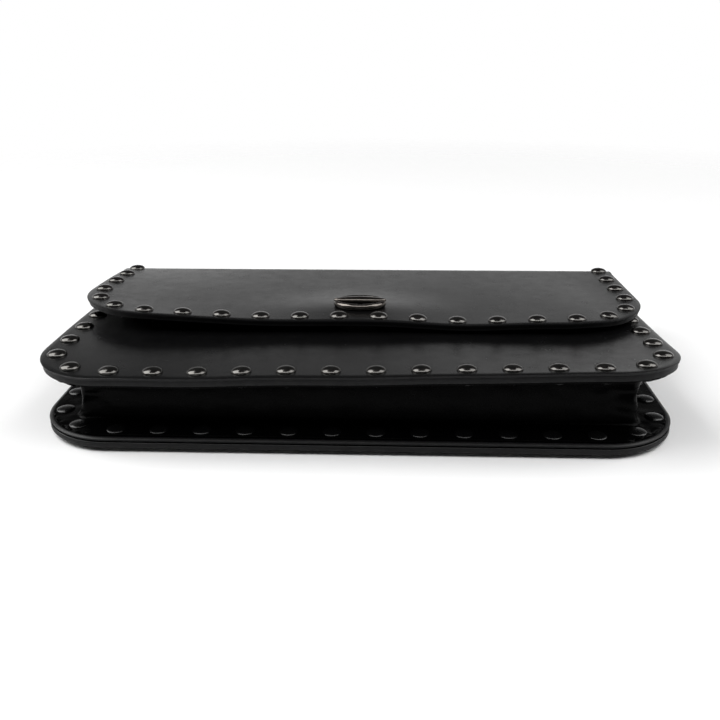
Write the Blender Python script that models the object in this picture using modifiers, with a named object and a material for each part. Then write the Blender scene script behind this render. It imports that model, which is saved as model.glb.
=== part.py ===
"""A studded fold-over chain wallet, lying on its back.

X runs across the wallet, Y from its bottom edge to its top fold, Z up from the table it lies on.
The origin is the middle of the wallet's footprint, on the table.
"""

import math

import bmesh
import bpy
from mathutils import Matrix, Vector

# Driving dimensions, in metres.
WIDTH = 0.230
LENGTH = 0.134
CORNER = 0.0276
STUD_RADIUS = 0.0035
STUD_RISE = 0.0017
STUD_PITCH = 0.01515
STUD_INSET = 0.006
STUD_FACETS = 8
SHANK_RADIUS = 0.00105
TAPE_HALF_WIDTH = 0.0016
GAP = 0.0003

# The three panels.
PANEL_LEATHER = 0.0013
PANEL_TAPE = 0.0004
PANEL_FACING = 0.0009
FRONT_HEIGHT = 0.0294
FRONT_SLOPE = 0.045
FRONT_TWIST = 0.020
FLAP_HALF_WIDTH = 0.114
FLAP_LENGTH = 0.0892
FLAP_CORNER = 0.040
FLAP_STUD_INSET = 0.0052
FLAP_STUDS_A_SIDE = 11
FLAP_LEATHER = 0.0012
FLAP_FACING = 0.0009
FLAP_CLEARANCE = 0.0004
FLAP_LIFT = 0.0020
FLAP_TWIST = 0.012
MOUTH_FROM_FOLD = 0.0070
LOWER_FOLD_RADIUS = 0.004
UPPER_FOLD_RADIUS = 0.006

# The gusset between the panels, and what lines the inside.
GUSSET_INSET = 0.0132
GUSSET_LEATHER = 0.0010
GUSSET_FLANGE = 0.0100
GUSSET_TUCK = 0.0018
LINING = 0.0005
LINING_INSET = 0.0167
POCKET_LEATHER = 0.0008
POCKET_HALF_WIDTH = 0.082
POCKET_FROM_BOTTOM = 0.022
POCKET_FROM_MOUTH = 0.026
POCKET_CORNER = 0.004
CARD_LEATHER = 0.0005
CARD_HALF_WIDTH = 0.046
CARD_FROM_BOTTOM = 0.026
CARD_FROM_MOUTH = 0.036
CARD_CORNER = 0.003
CARD_LEAVES = 3
CARD_STEP = 0.010

# The clasp.
CLASP_Y_FROM_FOLD = 0.0708
CLASP_RING_HALF = (0.0093, 0.0072)
CLASP_RING_WIRE = 0.0010
CLASP_BAR = (0.0190, 0.0046, 0.0020)
CLASP_BAR_CORNER = 0.00207
CLASP_SLANT = 0.0006
DISH_THICKNESS = 0.0006
BACKING_HALF = (0.0070, 0.0055)
BACKING_THICKNESS = 0.0005
SPINDLE_RADIUS = 0.0010
CAM = (0.0080, 0.0030, 0.0005)
CAM_CORNER = 0.0012
STRIKE_OUTER = (0.0160, 0.0130)
STRIKE_CORNER = 0.0030
STRIKE_SLOT = (0.0104, 0.0052)
STRIKE_SLOT_CORNER = 0.0012
STRIKE_LOW = 0.00045
STRIKE_RISE = 0.0018
STRIKE_SHEET = 0.0006
WASHER_HALF = (0.0070, 0.0050)
WASHER_THICKNESS = 0.0005

# The rings for the chain.
RING_WIRE = 0.0010
RING_HALF_WIDTH = 0.0045
RING_SIDE = 0.0050
RING_FROM_MIDDLE = 0.0956
RING_FROM_FOLD = 0.0182
RING_HEIGHT = 0.0127
TAB_TAIL = 0.0140
TAB_WIDTH = 0.0070
TAB_HOLE = 0.00145
TAB_LOOP = 0.0026
TAB_FACE = 0.0003
TAB_RIVET_DROP = 0.0095
TAB_RIVET_SCALE = 0.7

Y_NEAR = -(LENGTH + STUD_RISE) / 2
Y_FOLD = Y_NEAR + LENGTH
Y_FLAP_START = Y_FOLD - UPPER_FOLD_RADIUS
Y_FLAP_NEAR = Y_FOLD - FLAP_LENGTH
Y_CLASP = Y_FOLD - CLASP_Y_FROM_FOLD
Y_MOUTH = Y_FOLD - MOUTH_FROM_FOLD
FLAP_THICKNESS = FLAP_LEATHER + GAP + FLAP_FACING
PANEL_THICKNESS = PANEL_LEATHER + PANEL_TAPE + PANEL_FACING + 2 * GAP

BLACK = (0.012, 0.012, 0.013)
GUNMETAL = (0.09, 0.088, 0.085)

for leftover in list(bpy.data.objects):
    bpy.data.objects.remove(leftover, do_unlink=True)

PARTS = bpy.data.collections.new("chain_wallet")
CUTTERS = bpy.data.collections.new("cutters")
for group in (PARTS, CUTTERS):
    bpy.context.scene.collection.children.link(group)


# Surfaces that the panels follow: each gives the height of a panel's upper leather face.


def front_top(x, y):
    """The front panel slopes down to the mouth and stands a little higher at its near right corner."""
    along = (y - Y_NEAR) / LENGTH
    return FRONT_HEIGHT - FRONT_SLOPE * (y - Y_NEAR) + FRONT_TWIST * x * (1 - along) ** 2


def flap_top(x, y):
    """The flap clears the front panel's studs, lifts towards its free edge and curls up on its left."""
    along = (Y_FLAP_START - y) / (Y_FLAP_START - Y_FLAP_NEAR)
    resting = front_top(0.0, y) + STUD_RISE + GAP + FLAP_THICKNESS + FLAP_CLEARANCE
    return resting + (FLAP_LIFT - FLAP_TWIST * x) * along


def back_top(x, y):
    """The upper face of the back panel's leather, which lies flat on its studs."""
    return STUD_RISE + PANEL_LEATHER


# Helpers.


def material(name, colour, roughness, metallic=0.0):
    made = bpy.data.materials.new(name)
    made.use_nodes = True
    shader = made.node_tree.nodes["Principled BSDF"]
    shader.inputs["Base Color"].default_value = (*colour, 1.0)
    shader.inputs["Roughness"].default_value = roughness
    shader.inputs["Metallic"].default_value = metallic
    return made


def place(name, data, finish, group=PARTS):
    """An object of this name, in the parts' collection or among the cutters."""
    obj = bpy.data.objects.new(name, data)
    group.objects.link(obj)
    obj.data.materials.clear()
    obj.data.materials.append(material(name, *finish))
    if group is CUTTERS:
        obj.hide_render = True
        obj.display_type = "WIRE"
    return obj


def mesh_of(bm, name):
    mesh = bpy.data.meshes.new(name)
    bm.to_mesh(mesh)
    bm.free()
    mesh.shade_smooth()
    mesh.set_sharp_from_angle(angle=math.radians(35))
    return mesh


def rounded_outline(half_width, near, far, radius, segments=7):
    """Outline points, from the far left corner down, across and up, with the two near corners rounded."""
    points = [(-half_width, far)]
    for side, start in ((-1, math.pi), (1, 1.5 * math.pi)):
        for step in range(segments + 1):
            angle = start + 0.5 * math.pi * step / segments
            centre_x = side * (half_width - radius)
            points.append((centre_x + radius * math.cos(angle), near + radius + radius * math.sin(angle)))
    points.append((half_width, far))
    return points


def sheet(name, outline, top, depth, thickness, finish, cells=(6, 4)):
    """A plate that follows a surface: its upper face lies this depth under top(x, y)."""
    bm = bmesh.new()
    bm.faces.new([bm.verts.new((x, y, 0.0)) for x, y in outline])
    for axis, count in enumerate(cells):
        low = min(point[axis] for point in outline)
        high = max(point[axis] for point in outline)
        for cut in range(1, count):
            where = Vector((0, 0, 0))
            where[axis] = low + (high - low) * cut / count
            normal = Vector((0, 0, 0))
            normal[axis] = 1
            everything = bm.verts[:] + bm.edges[:] + bm.faces[:]
            bmesh.ops.bisect_plane(bm, geom=everything, plane_co=where, plane_no=normal, dist=1e-6)
    raised = bmesh.ops.extrude_face_region(bm, geom=bm.faces[:])["geom"]
    raised = [item for item in raised if isinstance(item, bmesh.types.BMVert)]
    bmesh.ops.translate(bm, verts=raised, vec=(0, 0, thickness))
    for vert in bm.verts:
        vert.co.z += top(vert.co.x, vert.co.y) - depth - thickness
    bmesh.ops.recalc_face_normals(bm, faces=bm.faces[:])
    return place(name, mesh_of(bm, name), finish)


def carried(bm, edges, move, steps):
    """The edges extruded in equal steps along a straight line: the last row."""
    for _ in range(steps):
        grown = bmesh.ops.extrude_edge_only(bm, edges=edges)["geom"]
        verts = [item for item in grown if isinstance(item, bmesh.types.BMVert)]
        bmesh.ops.translate(bm, verts=verts, vec=Vector(move) / steps)
        edges = [item for item in grown if isinstance(item, bmesh.types.BMEdge)]
    return edges


def turned(bm, edges, centre, steps):
    """The edges spun a quarter turn about an upright axis: the last row."""
    verts = list({vert for edge in edges for vert in edge.verts})
    spun = bmesh.ops.spin(
        bm, geom=verts + edges, cent=centre, axis=(0, 0, 1), angle=math.pi / 2, steps=steps, dvec=(0, 0, 0)
    )
    return [item for item in spun["geom_last"] if isinstance(item, bmesh.types.BMEdge)]


def swept(profile, inset, far, height, corner_steps=6, side_steps=4):
    """An open U-shaped surface: the (outward, level) profile taken down the left, across and up the right.

    height(x, y, level) turns a profile point's level into its height.
    """
    half = WIDTH / 2 - inset
    radius = CORNER - inset
    near = Y_NEAR + inset + radius
    bm = bmesh.new()
    row = [bm.verts.new((-half - outward, far, level)) for outward, level in profile]
    edges = [bm.edges.new(pair) for pair in zip(row, row[1:])]
    edges = carried(bm, edges, (0, near - far, 0), side_steps)
    edges = turned(bm, edges, (radius - half, near, 0), corner_steps)
    edges = carried(bm, edges, (2 * (half - radius), 0, 0), side_steps + 2)
    edges = turned(bm, edges, (half - radius, near, 0), corner_steps)
    carried(bm, edges, (0, far - near, 0), side_steps)
    bmesh.ops.remove_doubles(bm, verts=bm.verts[:], dist=1e-6)
    for vert in bm.verts:
        vert.co.z = height(vert.co.x, vert.co.y, vert.co.z)
    bmesh.ops.recalc_face_normals(bm, faces=bm.faces[:])
    return bm


def thicken(obj, thickness, offset=0.0):
    shell = obj.modifiers.new("Solidify", "SOLIDIFY")
    shell.thickness = thickness
    shell.offset = offset
    shell.use_even_offset = True


def boolean(obj, other, operation):
    cut = obj.modifiers.new("Boolean", "BOOLEAN")
    cut.operation = operation
    cut.object = other
    cut.solver = "EXACT"


def block(name, low, high, finish, corner, group=PARTS):
    """A box between two corners, with its upright edges rounded."""
    bm = bmesh.new()
    size = Vector(high) - Vector(low)
    middle = (Vector(high) + Vector(low)) / 2
    matrix = Matrix.Translation(middle) @ Matrix.Diagonal((*size, 1.0))
    bmesh.ops.create_cube(bm, size=1.0, matrix=matrix)
    reach = size.z / 2
    upright = [edge for edge in bm.edges if abs(edge.verts[0].co.z - edge.verts[1].co.z) > reach]
    bmesh.ops.bevel(bm, geom=upright, offset=corner, segments=3, affect="EDGES", profile=0.5, material=-1)
    return place(name, mesh_of(bm, name), finish, group)


def cylinders(name, points, radius, depth, segments=6):
    """Separate upright cylinders in one helper mesh, each centred on its point."""
    bm = bmesh.new()
    for point in points:
        bmesh.ops.create_cone(
            bm, cap_ends=True, segments=segments, radius1=radius, radius2=radius, depth=depth,
            matrix=Matrix.Translation(point),
        )
    return place(name, mesh_of(bm, name), (BLACK, 0.5), CUTTERS)


# Studs: a domed cap on a short shank.

CAP_PROFILE = (
    (0.0, STUD_RISE - GAP),
    (0.72 * STUD_RADIUS, 0.72 * STUD_RISE - GAP),
    (STUD_RADIUS, 0.0),
)


def add_turned(bm, profile, matrix):
    """A profile of (radius, height) points turned about its axis and set in place."""
    part = bmesh.new()
    row = [part.verts.new((radius, 0.0, height)) for radius, height in profile]
    edges = [part.edges.new(pair) for pair in zip(row, row[1:])]
    bmesh.ops.spin(
        part, geom=row + edges, cent=(0, 0, 0), axis=(0, 0, 1), angle=2 * math.pi, steps=STUD_FACETS,
        dvec=(0, 0, 0), use_merge=True,
    )
    bmesh.ops.remove_doubles(part, verts=part.verts[:], dist=1e-7)
    bmesh.ops.transform(part, matrix=matrix, verts=part.verts[:])
    bmesh.ops.recalc_face_normals(part, faces=part.faces[:])
    mesh = bpy.data.meshes.new("turned")
    part.to_mesh(mesh)
    part.free()
    bm.from_mesh(mesh)
    bpy.data.meshes.remove(mesh)


def add_stud(bm, matrix, shank):
    """A domed stud with its cap's underside at the matrix's origin and its shank along -Z."""
    foot = ((SHANK_RADIUS, 0.0), (SHANK_RADIUS, -shank), (0.0, -shank))
    add_turned(bm, CAP_PROFILE + foot, matrix)


def add_cap(bm, matrix):
    """A domed cap with no shank, its underside at the matrix's origin."""
    add_turned(bm, CAP_PROFILE + ((0.0, 0.0),), matrix)


def edge_run(half_width, near, far, radius, inset):
    """Half the length of the studs' line, from the middle of the bottom edge to the far end."""
    return half_width - radius + 0.5 * math.pi * (radius - inset) + far - near - radius


def stud_run(index):
    return (index + 0.5) * STUD_PITCH


def stud_places(half_width, near, far, radius, inset):
    """Points at one pitch along the edge, counted both ways from the middle of the bottom edge."""
    straight = half_width - radius
    turn = radius - inset
    arc = 0.5 * math.pi * turn
    index = 0
    while stud_run(index) + STUD_RADIUS <= edge_run(half_width, near, far, radius, inset):
        run = stud_run(index)
        if run < straight:
            x, y = run, near + inset
        elif run < straight + arc:
            angle = (run - straight) / turn
            x = straight + turn * math.sin(angle)
            y = near + radius - turn * math.cos(angle)
        else:
            x, y = half_width - inset, near + radius + run - straight - arc
        yield index, -1, (-x, y)
        yield index, 1, (x, y)
        index += 1


def panel_studs(far):
    return [spot for _, _, spot in stud_places(WIDTH / 2, Y_NEAR, far, CORNER, STUD_INSET)]


def studded_tape(name, spots, top, upwards, finish):
    """The studs of one panel, joined by the hidden tape that they are clenched through."""
    tape_depth = PANEL_LEATHER + GAP + PANEL_TAPE / 2

    def tape_height(x, y, level):
        return top(x, y) - tape_depth if upwards else STUD_RISE + tape_depth

    band = ((TAPE_HALF_WIDTH, 0.0), (-TAPE_HALF_WIDTH, 0.0))
    bm = swept(band, STUD_INSET, Y_MOUTH, tape_height, side_steps=8)
    tape = place(name, mesh_of(bm, name), finish)
    thicken(tape, PANEL_TAPE)
    studs = bmesh.new()
    for x, y in spots:
        seat = top(x, y) + GAP if upwards else STUD_RISE - GAP
        turn = Matrix.Identity(4) if upwards else Matrix.Rotation(math.pi, 4, "X")
        add_stud(studs, Matrix.Translation((x, y, seat)) @ turn, tape_depth + GAP)
    caps = place(name + "_caps", mesh_of(studs, name + "_caps"), finish, CUTTERS)
    boolean(tape, caps, "UNION")


# Leather panels.

LEATHER = (BLACK, 0.42)
DULL_LEATHER = (BLACK, 0.6)
FACING = ((0.02, 0.02, 0.021), 0.5)
METAL = (GUNMETAL, 0.22, 1.0)
CLOTH = ((0.03, 0.03, 0.032), 0.8)


def panels():
    back_end = Y_FOLD - LOWER_FOLD_RADIUS - GAP
    panel = rounded_outline(WIDTH / 2, Y_NEAR, back_end, CORNER)
    front = rounded_outline(WIDTH / 2, Y_NEAR, Y_MOUTH, CORNER)
    facing_depth = PANEL_LEATHER + PANEL_TAPE + 2 * GAP
    back = sheet("back_panel", panel, back_top, 0.0, PANEL_LEATHER, LEATHER)
    above = facing_depth + PANEL_FACING - PANEL_LEATHER
    sheet("back_facing", panel, back_top, -above, PANEL_FACING, FACING)
    front_leather = sheet("front_panel", front, front_top, 0.0, PANEL_LEATHER, LEATHER, cells=(6, 6))
    sheet("front_facing", front, front_top, facing_depth, PANEL_FACING, FACING, cells=(6, 6))
    hole = SHANK_RADIUS + GAP
    for name, leather, far, top in (
        ("back_studs", back, back_end, back_top),
        ("front_studs", front_leather, Y_MOUTH, front_top),
    ):
        spots = panel_studs(far)
        points = [(x, y, top(x, y) - PANEL_LEATHER / 2) for x, y in spots]
        boolean(leather, cylinders(name + "_holes", points, hole, 2 * PANEL_LEATHER), "DIFFERENCE")
        studded_tape(name, spots, top, leather is front_leather, METAL)


def fold_profile(depth, steps=4):
    """Points (y, z) of the top fold, this far inside its outer face, from the back up to the flap."""
    points = []
    flap_end = flap_top(0.0, Y_FLAP_START)
    for radius, z_centre, start in (
        (LOWER_FOLD_RADIUS, STUD_RISE + LOWER_FOLD_RADIUS, -0.5 * math.pi),
        (UPPER_FOLD_RADIUS, flap_end - UPPER_FOLD_RADIUS, 0.0),
    ):
        for step in range(steps + 1):
            angle = start + 0.5 * math.pi * step / steps
            reach = radius - depth
            y = Y_FOLD - radius + reach * math.cos(angle)
            points.append((y, z_centre + reach * math.sin(angle)))
    return points


def spine():
    for name, depth, thickness, finish in (
        ("spine_leather", 0.0, FLAP_LEATHER, LEATHER),
        ("spine_facing", FLAP_LEATHER + GAP, FLAP_FACING, FACING),
    ):
        bm = bmesh.new()
        row = [bm.verts.new((-FLAP_HALF_WIDTH, y, z)) for y, z in fold_profile(depth)]
        edges = [bm.edges.new(pair) for pair in zip(row, row[1:])]
        carried(bm, edges, (2 * FLAP_HALF_WIDTH, 0, 0), 1)
        bmesh.ops.recalc_face_normals(bm, faces=bm.faces[:])
        middle = sorted(bm.faces, key=lambda face: face.calc_center_median().y)[-1]
        if middle.normal.y < 0:
            bmesh.ops.reverse_faces(bm, faces=bm.faces[:])
        obj = place(name, mesh_of(bm, name), finish)
        thicken(obj, thickness, offset=-1.0)


def fold_studs():
    """The stud that sits on the fold, which goes with the flap, and the next one, on the spine."""
    flap_run = edge_run(FLAP_HALF_WIDTH, Y_FLAP_NEAR, Y_FLAP_START, FLAP_CORNER, FLAP_STUD_INSET)
    centre_z = flap_top(0.0, Y_FLAP_START) - UPPER_FOLD_RADIUS
    first = FLAP_STUDS_A_SIDE
    for name, index in (("flap_stud_{}_" + str(first + 1), first), ("spine_stud_{}", first + 1)):
        over = stud_run(index) - flap_run
        angle = max(0.0, math.pi / 2 - over / UPPER_FOLD_RADIUS)
        drop = max(0.0, over - 0.5 * math.pi * UPPER_FOLD_RADIUS)
        reach = UPPER_FOLD_RADIUS + GAP
        y = Y_FOLD - UPPER_FOLD_RADIUS + reach * math.cos(angle)
        z = centre_z + reach * math.sin(angle) - drop
        for side, label in ((-1, "left"), (1, "right")):
            x = side * (FLAP_HALF_WIDTH - FLAP_STUD_INSET)
            bm = bmesh.new()
            add_cap(bm, Matrix.Translation((x, y, z)) @ Matrix.Rotation(angle - math.pi / 2, 4, "X"))
            place(name.format(label), mesh_of(bm, "fold_stud"), METAL)


def flap():
    outline = rounded_outline(FLAP_HALF_WIDTH, Y_FLAP_NEAR, Y_FLAP_START - GAP, FLAP_CORNER)
    leather = sheet("flap_leather", outline, flap_top, 0.0, FLAP_LEATHER, LEATHER, cells=(8, 4))
    facing = sheet(
        "flap_facing", outline, flap_top, FLAP_LEATHER + GAP, FLAP_FACING, FACING, cells=(8, 4)
    )
    spots = list(stud_places(FLAP_HALF_WIDTH, Y_FLAP_NEAR, Y_FLAP_START, FLAP_CORNER, FLAP_STUD_INSET))
    points = [(x, y, flap_top(x, y) - FLAP_LEATHER / 2) for _, _, (x, y) in spots]
    holes = cylinders("flap_holes", points, SHANK_RADIUS + GAP, 2 * FLAP_LEATHER)
    boolean(leather, holes, "DIFFERENCE")
    middle = (0.0, Y_CLASP, flap_top(0.0, Y_CLASP))
    radius = SPINDLE_RADIUS + 2 * GAP
    spindle_hole = cylinders("spindle_hole", [middle], radius, 8 * FLAP_LEATHER, segments=12)
    boolean(leather, spindle_hole, "DIFFERENCE")
    boolean(facing, spindle_hole, "DIFFERENCE")
    for index, side, (x, y) in spots:
        bm = bmesh.new()
        add_stud(bm, Matrix.Translation((x, y, flap_top(x, y) + GAP)), FLAP_LEATHER + GAP)
        name = "flap_stud_" + ("left_" if side < 0 else "right_") + str(index + 1).zfill(2)
        place(name, mesh_of(bm, name), METAL)


# The gusset and what lines the inside.


def gusset_height(x, y, level):
    low = back_top(x, y) + PANEL_THICKNESS - PANEL_LEATHER + GAP + GUSSET_LEATHER / 2
    high = front_top(x, y) - PANEL_THICKNESS - GAP - GUSSET_LEATHER / 2
    return low + (high - low) * level


def tuck(level):
    """How far the wall draws in between the panels."""
    return -GUSSET_TUCK * math.sin(math.pi * level)


def gusset():
    wall = [(tuck(level), level) for level in (0.25, 0.5, 0.75)]
    profile = [(GUSSET_FLANGE, 0.0), (0.0012, 0.0), (0.0, 0.07), *wall, (0.0, 0.93), (0.0012, 1.0)]
    profile.append((GUSSET_FLANGE, 1.0))
    bm = swept(profile, GUSSET_INSET, Y_MOUTH, gusset_height)
    thicken(place("gusset", mesh_of(bm, "gusset"), (BLACK, 0.25)), GUSSET_LEATHER)
    behind = GUSSET_LEATHER / 2 + GAP + LINING
    lining = [(tuck(level) - behind, level) for level in (0.12, 0.35, 0.65, 0.88)]
    bm = swept(lining, GUSSET_INSET, Y_MOUTH, gusset_height)
    thicken(place("gusset_lining", mesh_of(bm, "gusset_lining"), CLOTH), LINING)


def inside():
    half = WIDTH / 2 - LINING_INSET
    outline = rounded_outline(half, Y_NEAR + LINING_INSET, Y_MOUTH, CORNER - LINING_INSET, segments=4)
    floor = STUD_RISE + PANEL_THICKNESS + GAP
    sheet("back_lining", outline, lambda x, y: floor + LINING, 0.0, LINING, CLOTH, cells=(1, 1))
    sheet("front_lining", outline, front_top, PANEL_THICKNESS + GAP, LINING, CLOTH)
    level = floor + LINING + GAP
    block(
        "slip_pocket",
        (-POCKET_HALF_WIDTH, Y_NEAR + POCKET_FROM_BOTTOM, level),
        (POCKET_HALF_WIDTH, Y_MOUTH - POCKET_FROM_MOUTH, level + POCKET_LEATHER),
        DULL_LEATHER,
        POCKET_CORNER,
    )
    level += POCKET_LEATHER + GAP
    for leaf in range(CARD_LEAVES):
        block(
            "card_leaf_" + str(leaf + 1),
            (-CARD_HALF_WIDTH, Y_NEAR + CARD_FROM_BOTTOM, level),
            (CARD_HALF_WIDTH, Y_MOUTH - CARD_FROM_MOUTH - leaf * CARD_STEP, level + CARD_LEATHER),
            DULL_LEATHER,
            CARD_CORNER,
        )
        level += CARD_LEATHER + GAP


# The clasp: a ring, a dish and a turning bar on the flap, whose cam locks under a strike on the front.


def oval_ring(name, half, wire, z, finish):
    curve = bpy.data.curves.new(name, "CURVE")
    curve.dimensions = "3D"
    curve.bevel_depth = wire
    curve.bevel_resolution = 1
    count = 24
    spline = curve.splines.new("POLY")
    spline.points.add(count - 1)
    for index, point in enumerate(spline.points):
        angle = 2 * math.pi * index / count
        point.co = (half[0] * math.cos(angle), half[1] * math.sin(angle), 0.0, 1.0)
    spline.use_cyclic_u = True
    obj = place(name, curve, finish)
    obj.location = (0.0, Y_CLASP, z)
    return obj


def disc(name, half, z, thickness, finish, hole=0.0, segments=24):
    """An oval plate, with a round hole where one is asked for."""
    bm = bmesh.new()
    bmesh.ops.create_cone(
        bm, cap_ends=True, segments=segments, radius1=1.0, radius2=1.0, depth=1.0,
        matrix=Matrix.Diagonal((half[0], half[1], thickness, 1.0)),
    )
    obj = place(name, mesh_of(bm, name), finish)
    obj.location = (0.0, Y_CLASP, z)
    if hole:
        cutter = cylinders(name + "_hole", [(0.0, Y_CLASP, z)], hole, 4 * thickness, segments=12)
        boolean(obj, cutter, "DIFFERENCE")
    return obj


def clasp():
    top = flap_top(0.0, Y_CLASP)
    seat_high = top + CLASP_SLANT
    dish = [half - CLASP_RING_WIRE - GAP for half in CLASP_RING_HALF]
    hole = SPINDLE_RADIUS + GAP
    disc("clasp_dish", dish, seat_high + DISH_THICKNESS / 2, DISH_THICKNESS, METAL, hole)
    oval_ring("clasp_ring", CLASP_RING_HALF, CLASP_RING_WIRE, seat_high + CLASP_RING_WIRE, METAL)
    below = top - FLAP_THICKNESS - CLASP_SLANT
    disc("clasp_backing", BACKING_HALF, below - BACKING_THICKNESS / 2, BACKING_THICKNESS, METAL, hole)

    bar_low = seat_high + 2 * CLASP_RING_WIRE + GAP
    length, width, height = CLASP_BAR
    bar = block(
        "clasp_bar",
        (-length / 2, -width / 2, 0.0),
        (length / 2, width / 2, height),
        METAL,
        CLASP_BAR_CORNER,
    )
    bar.location = (0.0, Y_CLASP, bar_low)

    seat = front_top(0.0, Y_CLASP)
    cam_low = seat + 2 * GAP
    cam = block(
        "clasp_cam",
        (-CAM[0] / 2, -CAM[1] / 2, 0.0),
        (CAM[0] / 2, CAM[1] / 2, CAM[2]),
        METAL,
        CAM_CORNER,
    )
    cam.location = (0.0, Y_CLASP, cam_low)
    spindle_low = cam_low + CAM[2] + GAP / 3
    spindle_high = bar_low - GAP / 3
    middle = (spindle_low + spindle_high) / 2
    spindle = bmesh.new()
    bmesh.ops.create_cone(
        spindle, cap_ends=True, segments=12, radius1=SPINDLE_RADIUS, radius2=SPINDLE_RADIUS,
        depth=spindle_high - spindle_low,
    )
    pin = place("clasp_spindle", mesh_of(spindle, "clasp_spindle"), METAL)
    pin.location = (0.0, Y_CLASP, middle)

    strike(seat)


def strike(seat):
    """A shallow tray upside down on the front panel, with a slot that the cam drops through."""
    tilt = math.atan(FRONT_SLOPE)
    half_x, half_y = STRIKE_OUTER[0] / 2, STRIKE_OUTER[1] / 2
    high = STRIKE_LOW + STRIKE_RISE
    low_corner = (-half_x, -half_y, STRIKE_LOW)
    tray = block("strike_plate", low_corner, (half_x, half_y, high), METAL, STRIKE_CORNER)
    half_x -= STRIKE_SHEET
    half_y -= STRIKE_SHEET
    hollow = block(
        "strike_hollow",
        (-half_x, -half_y, STRIKE_LOW - STRIKE_RISE),
        (half_x, half_y, high - STRIKE_SHEET),
        METAL,
        STRIKE_CORNER - STRIKE_SHEET,
        CUTTERS,
    )
    slot = block(
        "strike_slot",
        (-STRIKE_SLOT[0] / 2, -STRIKE_SLOT[1] / 2, STRIKE_LOW),
        (STRIKE_SLOT[0] / 2, STRIKE_SLOT[1] / 2, high + STRIKE_RISE),
        METAL,
        STRIKE_SLOT_CORNER,
        CUTTERS,
    )
    for cutter in (hollow, slot):
        boolean(tray, cutter, "DIFFERENCE")
    washer = disc("strike_washer", WASHER_HALF, 0.0, WASHER_THICKNESS, METAL)
    washer_depth = PANEL_THICKNESS + 2 * GAP + LINING + GAP
    for piece, rise in ((tray, 0.0), (hollow, 0.0), (slot, 0.0), (washer, -washer_depth)):
        piece.location = (0.0, Y_CLASP, seat + rise)
        piece.rotation_euler = (-tilt, 0.0, 0.0)


# The rings for the chain, each held in a folded leather tab inside the mouth.


def chain_rings():
    y_bar = Y_FOLD - RING_FROM_FOLD
    for side, label in ((-1, "left"), (1, "right")):
        pivot = bpy.data.objects.new("ring_pivot_" + label, None)
        PARTS.objects.link(pivot)
        pivot.location = (side * RING_FROM_MIDDLE, y_bar, RING_HEIGHT)

        curve = bpy.data.curves.new("chain_ring_" + label, "CURVE")
        curve.dimensions = "3D"
        curve.bevel_depth = RING_WIRE
        curve.bevel_resolution = 1
        points = [(0.0, -RING_HALF_WIDTH), (0.0, RING_HALF_WIDTH)]
        for step in range(9):
            angle = math.pi / 2 - math.pi * step / 8
            y = RING_SIDE + RING_HALF_WIDTH * math.cos(angle)
            points.append((y, RING_HALF_WIDTH * math.sin(angle)))
        spline = curve.splines.new("POLY")
        spline.points.add(len(points) - 1)
        for point, (y, z) in zip(spline.points, points):
            point.co = (0.0, y, z, 1.0)
        spline.use_cyclic_u = True
        ring = place("chain_ring_" + label, curve, METAL)
        ring.parent = pivot

        tab = bpy.data.curves.new("ring_tab_" + label, "CURVE")
        tab.dimensions = "2D"
        tab.fill_mode = "BOTH"
        tab.extrude = TAB_WIDTH / 2
        last = 2 * math.pi - math.acos(TAB_FACE / TAB_LOOP)
        outer_points = [(TAB_LOOP, -TAB_TAIL)]
        for step in range(13):
            angle = last * step / 12
            outer_points.append((TAB_LOOP * math.cos(angle), TAB_LOOP * math.sin(angle)))
        outer_points.append((TAB_FACE, -TAB_TAIL))
        hole_points = []
        for step in range(10):
            angle = 2 * math.pi * step / 10
            hole_points.append((TAB_HOLE * math.cos(angle), TAB_HOLE * math.sin(angle)))
        for outline in (outer_points, hole_points):
            spline = tab.splines.new("POLY")
            spline.points.add(len(outline) - 1)
            for point, (x, y) in zip(spline.points, outline):
                point.co = (side * x, y, 0.0, 1.0)
            spline.use_cyclic_u = True
        leather = place("ring_tab_" + label, tab, LEATHER)
        leather.location = pivot.location

        rivet = bmesh.new()
        at_x = side * (RING_FROM_MIDDLE + TAB_FACE - GAP)
        seat = Matrix.Translation((at_x, y_bar - TAB_RIVET_DROP, RING_HEIGHT))
        turn = Matrix.Rotation(-side * math.pi / 2, 4, "Y")
        add_cap(rivet, seat @ turn @ Matrix.Scale(TAB_RIVET_SCALE, 4))
        place("tab_rivet_" + label, mesh_of(rivet, "tab_rivet"), METAL)


panels()
spine()
fold_studs()
flap()
gusset()
inside()
clasp()
chain_rings()
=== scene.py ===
"""Looks for a studded fold-over chain wallet in black leather, lying on its back.

X runs across the wallet, Y from its bottom edge to its top fold, Z up, in metres.
"""

import math

import bmesh
import bpy
from mathutils import Matrix, Vector, noise


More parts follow.
